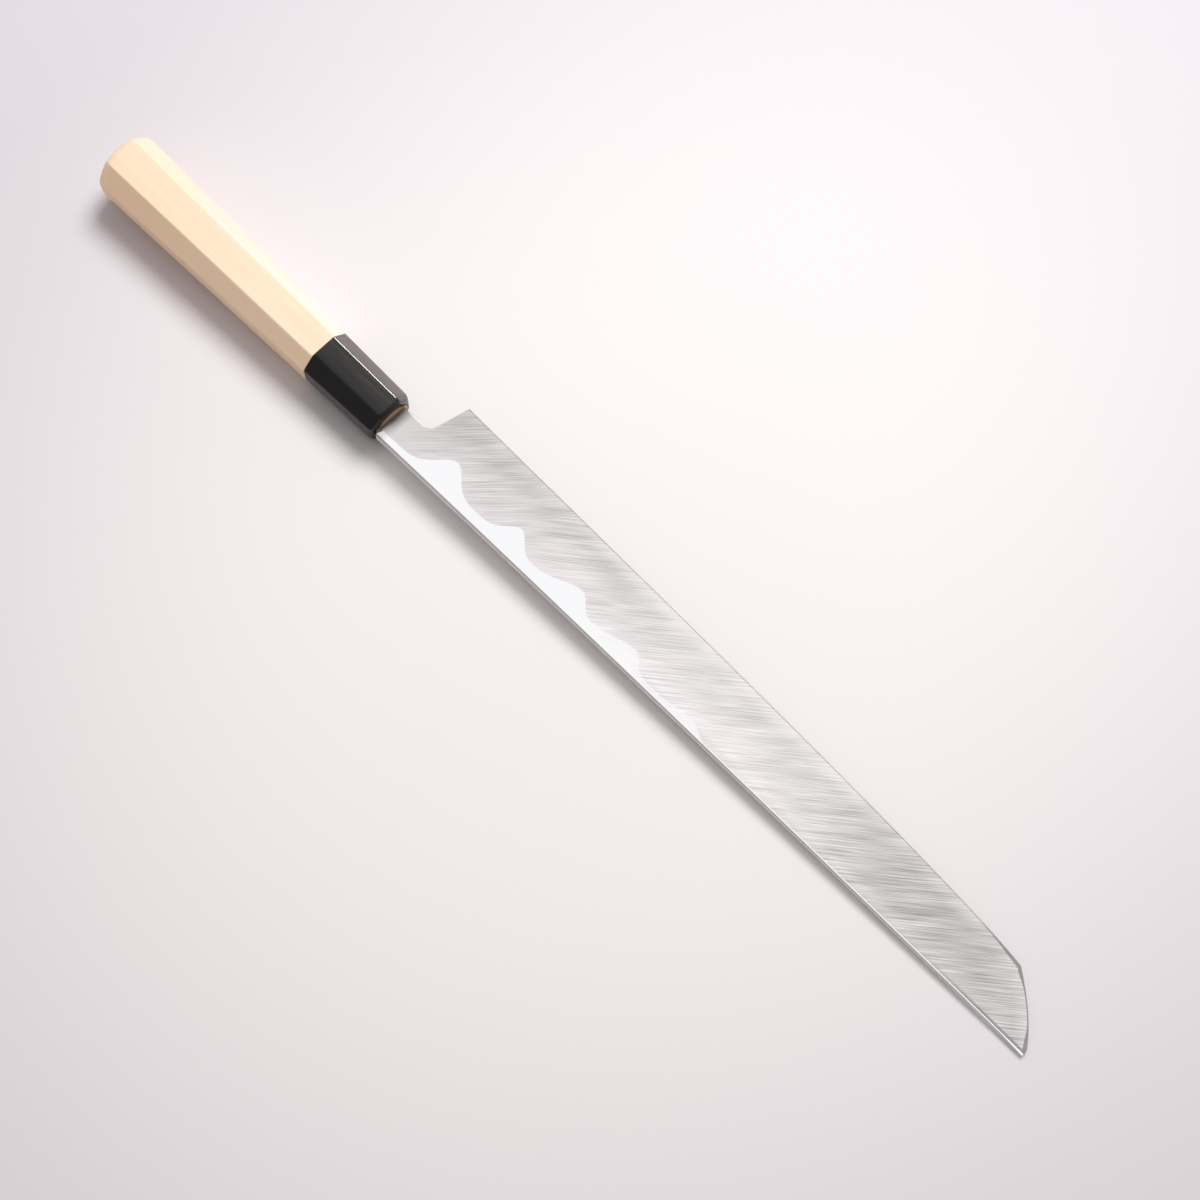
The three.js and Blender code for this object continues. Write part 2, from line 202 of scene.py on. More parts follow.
@dataclass
class Blade:
    """Single-bevel blade in two layers: edge steel over the whole back face, soft iron under it.

    All sizes are in millimetres and all angles in degrees. They follow the CAD part. Limits are shares of the
    blade's height, but the fall's is one of the steel's depth. The underside's inset is a share of the rim.
    """

    pose: Pose
    edge_length: float = 290.0
    heel_reach: float = 17.4
    heel_height: float = 30.45
    shoulder_height: float = 21.45
    shoulder_setback: float = 19.5
    heel_fall: float = 1.5
    shoulder_fall: float = 8.2
    heel_run: float = 52.0
    shoulder_run: float = 43.0
    tip_entry: float = 36.0
    tip_exit: float = 58.0
    point_flat: float = 2.5
    spine_bow: float = 0.75
    spine_drop: float = 0.45
    neck_height: float = 14.55
    choil_lean: float = 15.0
    choil_fillet: float = 3.2
    neck_start: float = 0.85
    neck_thickness: float = 4.6
    point_thickness: float = 1.98
    bevel_width: float = 15.5
    edge_thickness: float = 0.12
    spine_round: float = 0.9
    spine_fall: float = 0.4
    steel_share: float = 0.3
    back_land: float = 4.5
    back_rim: float = 0.9
    hollow_radius: float = 190.0
    tang_length: float = 104.0
    tang_front: Pair = (10.0, 2.5)
    tang_end: Pair = (5.0, 1.8)
    tang_axis: float = 8.4
    tang_lap: float = 1.0
    land_limit: float = 0.35
    rim_limit: float = 0.2
    round_limit: float = 0.3
    ridge_limits: Pair = (0.25, 0.5)
    fall_limit: float = 0.9
    under_inset: float = 0.1

    NECK_STEPS = 13
    FILLET_STEPS = 12
    HEEL_STEPS = 16
    EDGE_STEPS = 180
    TIP_STEPS = 60
    RIM_STEPS = 5
    HOLLOW_STEPS = 27
    TOP_ROUND_STEPS = 10
    UNDER_ROUND_STEPS = 6
    LAND_SHARES = (0.75, 0.5, 0.25)
    FLAT_SHARES = (0.35, 0.7, 1.0)
    BEVEL_SHARES = (0.2, 0.4, 0.6, 0.8, 1.0)
    BEVEL_END = 0.98
    CREASE = 24.0

    @property
    def tip_x(self) -> float:
        """Place of the tip along the knife."""
        return self.heel_reach + self.edge_length

    def spine(self, x: np.ndarray) -> np.ndarray:
        """Finds the spine's y at places along the knife, a shallow bow between the ferrule and the tip."""
        along = x / self.tip_x
        return 4.0 * self.spine_bow * along * (1.0 - along) - self.spine_drop * along

    def thickness(self, x: np.ndarray) -> np.ndarray:
        """Finds the blade's thickness at places along the knife, an even taper from the neck to the tip."""
        return self.neck_thickness + (self.point_thickness - self.neck_thickness) * x / self.tip_x

    def stations(self) -> Stations:
        """Walks the outline: neck, fillet, rear face of the heel, a cubic cutting edge and a quadratic tip.

        Returns:
            The sections in order from the neck to the tip.
        """
        lean, heel = math.radians(self.choil_lean), math.tan(math.radians(self.heel_fall))
        turn = math.pi / 2 - lean
        corner = self.heel_reach - (self.heel_height - self.neck_height) * math.tan(lean)
        angle = np.linspace(-math.pi / 2, turn - math.pi / 2, self.FILLET_STEPS)
        arc_x = corner - self.choil_fillet * math.tan(turn / 2) + self.choil_fillet * np.cos(angle)
        arc_y = self.neck_height + self.choil_fillet + self.choil_fillet * np.sin(angle)
        arc = np.stack([arc_x, arc_y], axis=1)
        start, end = (self.neck_start, self.neck_height), (self.heel_reach, self.heel_height)
        neck = np.linspace(start, arc[0], self.NECK_STEPS, endpoint=False)
        face = np.linspace(arc[-1], end, self.HEEL_STEPS + 2)[1:-1]
        rear = np.concatenate([neck, arc, face])
        rear_edge = self.heel_height + (self.heel_reach - rear[:, 0]) * heel

        shoulder_x = self.tip_x - self.shoulder_setback
        fall = math.tan(math.radians(self.shoulder_fall))
        ends = np.array([
            [self.heel_reach, self.heel_height],
            [self.heel_reach + self.heel_run, self.heel_height - self.heel_run * heel],
            [shoulder_x - self.shoulder_run, self.shoulder_height + self.shoulder_run * fall],
            [shoulder_x, self.shoulder_height],
        ])
        edge = curve(np.linspace(0.0, 1.0, self.EDGE_STEPS)[:, None], *ends)

        entry, leave = (math.tan(math.radians(a)) for a in (self.tip_entry, self.tip_exit))
        point = self.point_flat - self.spine_drop
        reach = (leave * self.shoulder_setback - self.shoulder_height + point) / (leave - entry)
        control = np.array([shoulder_x + reach, self.shoulder_height - reach * entry])
        t = np.linspace(0.0, 1.0, self.TIP_STEPS)[1:, None]
        tip = curve(t, ends[3], control, np.array([self.tip_x, point]))

        front = np.concatenate([edge, tip])
        slope = -np.gradient(front[:, 1], front[:, 0])
        outline = np.concatenate([rear, front])
        return Stations(
            outline[:, 0],
            outline[:, 1],
            np.concatenate([rear_edge, front[:, 1]]),
            np.concatenate([np.full(len(rear), heel), slope]),
        )

    def _bevel(self, at: Stations) -> np.ndarray:
        """Finds the bevel's width along y, wider where the edge slopes."""
        return self.bevel_width / np.cos(np.arctan(at.slope))

    def _rate(self, at: Stations) -> np.ndarray:
        """Finds how fast the bevel gains thickness away from the edge, per millimetre of y."""
        return (self.thickness(at.x) - self.edge_thickness) / self._bevel(at)

    def _depth(self, at: Stations, y: np.ndarray) -> np.ndarray:
        """Finds the blade's thickness under points of the back face."""
        return np.minimum(self.thickness(at.x), self.edge_thickness + (at.edge - y) * self._rate(at))

    def _reach(self, at: Stations, deep: np.ndarray) -> np.ndarray:
        """Finds how far towards the edge the blade is still that deep."""
        return np.minimum(at.cut, at.edge - (deep - self.edge_thickness) / self._rate(at))

    def _steel(self, at: Stations) -> np.ndarray:
        """Finds how deep the edge steel reaches."""
        return np.maximum(self.edge_thickness, self.steel_share * self._depth(at, self.spine(at.x)))

    def _round(self, at: Stations) -> np.ndarray:
        """Finds the rounding of the spine's corners, smaller where the blade is thin or narrow."""
        wide = np.minimum(self.spine_round, self.round_limit * (at.cut - self.spine(at.x)))
        return np.minimum(wide, self.fall_limit / self.spine_fall * self._steel(at))

    def _rings(self, at: Stations, sides: Sides) -> tuple[np.ndarray, np.ndarray]:
        """Stacks ring points into arrays for a loft.

        Args:
            at: The sections.
            sides: Pairs (y, z) of arrays, one per ring point.

        Returns:
            The rings, and for each point its place: along the knife, from the spine and from the edge.
        """
        y = np.stack([side[0] for side in sides], axis=1)
        z = np.stack([side[1] for side in sides], axis=1)
        x = np.repeat(at.x[:, None], y.shape[1], axis=1)
        off_edge = (at.edge[:, None] - y) * np.cos(np.arctan(at.slope))[:, None]
        off_spine = y - self.spine(at.x)[:, None]
        return np.stack([x, y, z], axis=-1), np.stack([x, off_spine, off_edge], axis=-1)

    def steel(self) -> Piece:
        """Builds the edge steel: underside, edge, rim, hollow, land along the spine and its rounded corner.

        Returns:
            The object, with the back face and the ground faces on separate materials.
        """
        at = self.stations()
        spine, thick = self.spine(at.x), self._steel(at)
        rounding = self._round(at)
        high = at.edge - spine
        land = self.back_land * (self.tip_x - at.x) / self.edge_length + rounding
        land = np.minimum(land, self.land_limit * high)
        rim = np.minimum(self.back_rim, self.rim_limit * high)
        span = high - rim - land
        start = np.minimum(at.cut, at.edge - rim)
        flat = np.zeros_like(spine)
        under = np.minimum(thick, self._depth(at, at.cut))
        inner = np.minimum(self._reach(at, thick), at.cut - self.under_inset * rim)
        sides = [(spine, -thick), (inner, -thick), (at.cut, -under)]
        # Shares below zero lie on the rim, from the outline inwards, and those above it cross the hollow.
        rim_shares = np.linspace(-1.0, 0.0, self.RIM_STEPS, endpoint=False)
        for share in np.concatenate([rim_shares, np.linspace(0.0, 1.0, self.HOLLOW_STEPS)]):
            y = start + (at.cut - start) * max(-share, 0.0) + (spine + land - start) * max(share, 0.0)
            across = np.maximum(at.edge - rim - y, 0.0)
            sides.append((y, -across * (span - across) / (2.0 * self.hollow_radius)))
        sides += [(spine + rounding + share * (land - rounding), flat) for share in self.LAND_SHARES]
        for angle in quarter(self.TOP_ROUND_STEPS):
            fall = self.spine_fall * rounding * (1 - math.cos(angle))
            sides.append((spine + rounding * (1 - math.sin(angle)), -fall))
        layers = np.full(len(sides), Layer.BACK.value)
        layers[[0, 1, 2, -1]] = Layer.GROUND.value
        skin = Skin("edge_steel_skin", self.pose)
        skin.loft(*self._rings(at, sides), layers)
        return skin.build(self.CREASE)

    def iron(self) -> Piece:
        """Builds the soft iron: spine, flat front face, ridge and bevel, and the tang inside the handle.

        Returns:
            The object.
        """
        at = self.stations()
        spine, top = self.spine(at.x), self._steel(at)
        rounding = self._round(at)
        eased = spine + rounding
        deep = self._depth(at, spine)
        low, high = (eased + limit * (at.cut - eased) for limit in self.ridge_limits)
        ridge = np.clip(at.edge - self._bevel(at), low, high)
        outer = self._reach(at, top)
        sides = [(spine, -top), (spine, -0.5 * (top + deep - self.spine_fall * rounding))]
        for angle in quarter(self.UNDER_ROUND_STEPS):
            rise = self.spine_fall * rounding * (1 - math.sin(angle))
            sides.append((spine + rounding * (1 - math.cos(angle)), rise - deep))
        for share in self.FLAT_SHARES:
            y = eased + share * (ridge - eased)
            sides.append((y, -self._depth(at, y)))
        # Where the bevel runs out against the steel, the point before the last one stops just short of it.
        last = np.where(outer < at.cut, self.BEVEL_END, 1.0)
        for share in self.BEVEL_SHARES:
            y = ridge + share * last * (outer - ridge)
            sides.append((y, -np.maximum(self._depth(at, y), top)))
        sides.append((outer, -top))
        skin = Skin("blade_iron_skin", self.pose)
        rings, places = self._rings(at, sides)
        skin.loft(rings, places, np.zeros(len(sides), dtype=int))
        tang = self._tang()
        skin.loft(tang, np.zeros_like(tang), np.zeros(tang.shape[1], dtype=int))
        return skin.build(self.CREASE)

    def _tang(self) -> np.ndarray:
        """Lofts the tang as a rounded bar that narrows towards its end.

        Returns:
            Two rings.
        """
        middle = -self.neck_thickness * (1 + self.steel_share) / 2
        front = Handle.oval(self.tang_lap, self.tang_axis, middle, *self.tang_front, Handle.BAR)
        end = Handle.oval(-self.tang_length, self.tang_axis, middle, *self.tang_end, Handle.BAR)
        return np.stack([end, front])


@dataclass
class Handle:
    """Octagonal handle: a horn ferrule in front, wood behind it with a tenon through the ferrule.

    All sizes are in millimetres. Heights run along y and widths along z. They follow the CAD part.
    """

    pose: Pose
    length: float = 147.2
    ferrule_length: float = 34.3
    front: tuple[float, float, float] = (19.2, 18.2, 4.65)
    butt: tuple[float, float, float] = (26.25, 19.2, 6.67)
    axis_front: float = 8.4
    axis_butt: float = 8.75
    middle: float = -2.3
    front_run: float = 2.8
    front_draw: float = 1.45
    butt_round: float = 2.5
    dome_radius: float = 20.0
    dome_stretch: float = 1.21
    apex_shift: float = 2.0
    bore: Pair = (15.2, 11.0)
    bore_round: float = 0.35
    tenon_gap: float = 0.12
    tenon_proud: float = 1.0
    joint_gap: float = 0.06
    horn_bend: tuple[float, ...] = (0.55, 0.55, 0.55, 0.55, 1.8, 0.55, 0.55, 1.8)
    horn_crown: float = 0.1
    wood_bend: float = 0.33
    slot_depth: float = 104.3
    slot_middle: float = -2.99
    slot_front: Pair = (10.6, 3.1)
    slot_end: Pair = (5.6, 2.4)
    rear_ease: float = 0.2
    rear_run: float = 3.0
    shoulder_ease: float = 0.1
    butt_run: float = 9.0
    ring_gap: float = 0.4
    tenon_bow: float = 0.8
    tenon_runs: Pair = (1.0, 2.0)

    CREASE = 40.0
    BAR = 0.25
    HORN_STEPS = 6
    FRONT_STEPS = 11
    BORE_STEPS = 6
    BUTT_STEPS = 12
    WOOD_STEPS = 14
    TENON_STEPS = 8
    CAP_SHARES = np.linspace(0.03, 0.97, 9)
    BEND_STEPS = 5
    SIDE_SHARES = (0.06, 0.5, 0.94)
    RING_STEPS = 8 * (BEND_STEPS + len(SIDE_SHARES))

    @classmethod
    def oval(
        cls, x: float, axis: float, middle: float, height: float, width: float, square: float = 1.0
    ) -> np.ndarray:
        """Draws a ring whose points face the same ways as the octagon's, from an ellipse to a rounded bar.

        Args:
            x: Place along the knife.
            axis: Centre along y.
            middle: Centre along z.
            height: Size along y.
            width: Size along z.
            square: 1 for an ellipse, towards 0 for a bar with sharper corners.

        Returns:
            The ring.
        """
        angle = 2 * math.pi * (np.arange(cls.RING_STEPS) - 1) / cls.RING_STEPS - 3 * math.pi / 8
        cos, sin = np.cos(angle), np.sin(angle)
        y = axis + 0.5 * height * np.sign(cos) * np.abs(cos) ** square
        z = middle + 0.5 * width * np.sign(sin) * np.abs(sin) ** square
        return np.stack([np.full(cls.RING_STEPS, x), y, z], axis=-1)

    def octagon(
        self, x: float, bend: float | tuple[float, ...], inset: float = 0.0, crown: float = 0.0
    ) -> np.ndarray:
        """Draws the octagon at a place: corners are short curves between two sides, and sides shallow arcs.

        Args:
            x: Place along the knife.
            bend: How far from the corner the curve starts on either side, for all corners or for each.
            inset: How far the outline is drawn in all round.
            crown: How far the middle of each side bulges.

        Returns:
            The ring.
        """
        share = -x / self.length
        height, width, corner = (a + (b - a) * share for a, b in zip(self.front, self.butt))
        axis = self.axis_front + (self.axis_butt - self.axis_front) * share
        half, tall = height / 2 - inset, width / 2 - inset
        corner -= inset * (2 - math.sqrt(2))
        corners = np.array([
            [half - corner, -tall], [half, corner - tall], [half, tall - corner], [half - corner, tall],
            [corner - half, tall], [-half, tall - corner], [-half, corner - tall], [corner - half, -tall],
        ])
        before, after = np.roll(corners, 1, 0) - corners, np.roll(corners, -1, 0) - corners
        bends = np.broadcast_to(bend, len(corners))[:, None]
        start = corners + bends * before / np.linalg.norm(before, axis=1, keepdims=True)
        way = after / np.linalg.norm(after, axis=1, keepdims=True)
        end = corners + bends * way
        t = np.linspace(0.0, 1.0, self.BEND_STEPS)[None, :, None]
        bent = curve(t, start[:, None], corners[:, None], end[:, None])
        t = np.array(self.SIDE_SHARES)[None, :, None]
        out = np.stack([way[:, 1], -way[:, 0]], axis=1)
        side = curve(t, end[:, None], np.roll(start, -1, 0)[:, None]) + 4 * crown * t * (1 - t) * out[:, None]
        ring = np.concatenate([bent, side], axis=1).reshape(-1, 2) + np.array([axis, self.middle])
        return np.concatenate([np.full((len(ring), 1), x), ring], axis=1)

    def _bore(self, x: float, grow: float) -> np.ndarray:
        """Draws the ferrule's oval bore at a place, grown all round."""
        height, width = (size + 2 * grow for size in self.bore)
        return self.oval(x, self.axis_front, self.middle, height, width)

    def _horn(self, x: float, inset: float = 0.0) -> np.ndarray:
        """Draws the ferrule's softly polished octagon at a place."""
        return self.octagon(x, self.horn_bend, inset + self.horn_crown, self.horn_crown)

    def _wood(self, x: float, inset: float = 0.0) -> np.ndarray:
        """Draws the wood's octagon with flat sides at a place."""
        return self.octagon(x, self.wood_bend, inset)

    def ferrule(self) -> Piece:
        """Builds the horn ferrule as a tube: outer octagon, rounded front edge, front face and oval bore.

        Returns:
            The object.
        """
        back = -self.ferrule_length
        rings = [self._horn(back, self.rear_ease), self._horn(back + self.rear_ease)]
        body = np.linspace(back + self.rear_run, -self.front_run - self.ring_gap, self.HORN_STEPS)
        rings += [self._horn(x) for x in body]
        for angle in quarter(self.FRONT_STEPS):
            x = self.front_run * (math.sin(angle) - 1)
            rings.append(self._horn(x, self.front_draw * (1 - math.cos(angle))))
        for angle in quarter(self.BORE_STEPS):
            x = self.bore_round * (math.cos(angle) - 1)
            rings.append(self._bore(x, self.bore_round * (1 - math.sin(angle))))
        rings.append(self._bore(back, 0.0))
        stack = np.stack(rings)
        skin = Skin("horn_ferrule_skin", self.pose)
        skin.loft(stack, stack, np.zeros(stack.shape[1], dtype=int), closed=True)
        return skin.build(self.CREASE)

    def _dome(self, ring: np.ndarray) -> np.ndarray:
        """Moves a ring of the butt forward by a dome's fall at each point, and in by the taper over that way.

        The dome is a ball stretched along y, with its top shifted towards the cutting edge.

        Args:
            ring: A ring by the butt's plane.

        Returns:
            The ring on the dome.
        """
        heart = np.array([0.0, self.axis_butt, self.middle])
        beside = (ring[:, 1] - self.axis_butt - self.apex_shift) / self.dome_stretch
        off = np.hypot(beside, ring[:, 2] - self.middle)
        fall = self.dome_radius - np.sqrt(self.dome_radius**2 - off**2)
        taper = (np.array(self.butt[:2]) - np.array(self.front[:2])) / np.array(self.butt[:2]) / self.length
        drawn = heart + (ring - heart) * (1.0 - fall[:, None] * np.array([0.0, *taper]))
        return drawn + fall[:, None] * np.array([1.0, 0.0, 0.0])

    def wood(self) -> Piece:
        """Builds the wood: domed butt with a rounded edge, tapered octagon, domed tenon, and the tang's slot.

        Returns:
            The object.
        """
        cap = self._wood(-self.length, self.butt_round)
        heart = np.array([-self.length, self.axis_butt, self.middle])
        rings = [self._dome(heart + share * (cap - heart)) for share in self.CAP_SHARES]
        for angle in quarter(self.BUTT_STEPS)[::-1]:
            x = -self.length + self.butt_round * (1 - math.sin(angle))
            rings.append(self._dome(self._wood(x, self.butt_round * (1 - math.cos(angle)))))
        shoulder = -self.ferrule_length - self.joint_gap
        body = np.linspace(self.butt_run - self.length, shoulder - self.ring_gap, self.WOOD_STEPS)
        rings += [self._wood(x) for x in body]
        rings += [self._wood(shoulder - self.shoulder_ease), self._wood(shoulder, self.shoulder_ease)]
        tenon = (shoulder, shoulder + self.tenon_runs[0], -self.tenon_runs[1])
        rings += [self._bore(x, -self.tenon_gap) for x in tenon]
        for rise in np.linspace(0.0, 1.0, self.TENON_STEPS):
            drawn = self.tenon_proud * (1 - math.sqrt(1 - self.tenon_bow * rise * rise))
            rings.append(self._bore(self.tenon_proud * rise, -self.tenon_gap - drawn))
        for x, size in ((self.tenon_proud, self.slot_front), (-self.slot_depth, self.slot_end)):
            rings.append(self.oval(x, self.axis_front, self.slot_middle, *size, self.BAR))
        stack = np.stack(rings)
        skin = Skin("wood_handle_skin", self.pose)
        skin.loft(stack, stack, np.zeros(stack.shape[1], dtype=int))
        return skin.build(self.CREASE)


def operators(operation: str) -> tuple[Callable, Callable]:
    """Makes an operator of shader values and its reflected form.

    Args:
        operation: The operation of the Math node that they add.

    Returns:
        The operator with the value on the left, and the one with the value on the right.
    """

    def plain(value: "Value", other: "Value | float") -> "Value":
        """Puts the value first."""
        return value.graph.math(operation, value, other)

    def reflected(value: "Value", other: "Value | float") -> "Value":
        """Puts the value second."""
        return value.graph.math(operation, other, value)

    return plain, reflected


class Value:
    """A shader value that takes part in ordinary arithmetic: each operator adds a Math node."""

    def __init__(self, graph: "Graph", port: bpy.types.NodeSocket) -> None:
        """Wraps an output of a node in a graph's tree."""
        self.graph = graph
        self.port = port

    __add__, __radd__ = operators("ADD")
    __sub__, __rsub__ = operators("SUBTRACT")
    __mul__, __rmul__ = operators("MULTIPLY")
    __truediv__, __rtruediv__ = operators("DIVIDE")
    __pow__, __rpow__ = operators("POWER")
    __gt__, __lt__ = operators("GREATER_THAN")

    def step(self, low: "Value | float", high: "Value | float") -> "Value":
        """Eases from 0 at low to 1 at high.

        Args:
            low: Where the step starts.
            high: Where the step ends.

        Returns:
            The eased value.
        """
        node = self.graph.node(
            "ShaderNodeMapRange",
            {"interpolation_type": "SMOOTHSTEP"},
            {"Value": self, "From Min": low, "From Max": high},
        )
        return Value(self.graph, node.outputs[0])

    def peak(self, centre: float, before: float, after: float) -> "Value":
        """Gives a bell that is 1 at its centre and a half at a distance before and another one after it.

        Args:
            centre: Where the bell stands.
            before: Half width on the lower side.
            after: Half width on the upper side.

        Returns:
            The bell's height.
        """
        off = self - centre
        share = off / (before + (off > 0.0) * (after - before))
        return 0.5 ** (share * share)


class Graph:
    """A node tree with short ways to add nodes."""

    def __init__(self, tree: bpy.types.NodeTree) -> None:
        """Clears the node tree of a material or world."""
        self.tree = tree
        tree.nodes.clear()

    def node(self, kind: str, settings: dict[str, object], inputs: dict[str | int, object]) -> bpy.types.Node:
        """Adds a node.

        Args:
            kind: Blender's name of the node's type.
            settings: Properties to set on it.
            inputs: Values or plain constants for its inputs, by name or number.

        Returns:
            The node.
        """
        made = self.tree.nodes.new(kind)
        for name, setting in settings.items():
            setattr(made, name, setting)
        for name, given in inputs.items():
            if isinstance(given, Value):
                self.tree.links.new(given.port, made.inputs[name])
            else:
                made.inputs[name].default_value = given
        return made

    def math(self, operation: str, first: "Value | float", second: "Value | float") -> Value:
        """Adds a Math node and gives its result."""
        node = self.node("ShaderNodeMath", {"operation": operation}, {0: first, 1: second})
        return Value(self, node.outputs[0])

    def mix(self, share: "Value | float", first: "Value | Colour", second: "Value | Colour") -> Value:
        """Mixes two colours.

        Args:
            share: 0 for the first, 1 for the second.
            first: A colour.
            second: Another colour.

        Returns:
            The mixed colour.
        """
        full = [c if isinstance(c, Value) else (*c, 1.0) for c in (first, second)]
        node = self.node("ShaderNodeMix", {"data_type": "RGBA"}, {0: share, 6: full[0], 7: full[1]})
        return Value(self, node.outputs[2])

    def place(self) -> tuple[Value, Value, Value]:
        """Reads the surface attribute that tells where a point lies on its piece.

        Returns:
            Its three values.
        """
        named = self.node("ShaderNodeAttribute", {"attribute_name": PLACE}, {})
        split = self.node("ShaderNodeSeparateXYZ", {}, {0: Value(self, named.outputs["Vector"])})
        return tuple(Value(self, port) for port in split.outputs)

    def noise(self, x: Value, y: Value, z: "Value | float", detail: float, rough: float = 0.5) -> Value:
        """Reads a noise at a point, one cell per unit.

        Args:
            x: First coordinate.
            y: Second coordinate.
            z: Third coordinate.
            detail: Number of finer layers.
            rough: Weight of the finer layers.

        Returns:
            The noise, about a half on average.
        """
        spot = self.node("ShaderNodeCombineXYZ", {}, {0: x, 1: y, 2: z})
        node = self.node(
            "ShaderNodeTexNoise",
            {},
            {"Vector": Value(self, spot.outputs[0]), "Scale": 1.0, "Detail": detail, "Roughness": rough},
        )
        return Value(self, node.outputs[0])

    def bump(self, height: Value, depth: float) -> Value:
        """Turns a height, in units of a depth in metres, into a normal."""
        node = self.node("ShaderNodeBump", {}, {"Strength": 1.0, "Distance": depth, "Height": height})
        return Value(self, node.outputs[0])

    def surface(self, inputs: dict[str | int, object]) -> None:
        """Ends a material in one principled surface with values or plain constants for its inputs."""
        shader = self.node("ShaderNodeBsdfPrincipled", {}, inputs)
        self.node("ShaderNodeOutputMaterial", {}, {"Surface": Value(self, shader.outputs[0])})


@dataclass(frozen=True)
class Finish:
    """A named finish that makes its own material."""

    name: str

    def paint(self, graph: Graph) -> None:
        """Fills the material's empty node tree."""
        raise NotImplementedError

    def material(self) -> bpy.types.Material:
        """Makes the material.

        Returns:
            The material.
        """
        made = bpy.data.materials.new(self.name)
        made.use_nodes = True
        self.paint(Graph(made.node_tree))
        return made


@dataclass(frozen=True)
class Crest:
    """One wave of the polished land: its place, its height, and its half widths before and after that."""

    x: float
    height: float
    before: float
    after: float


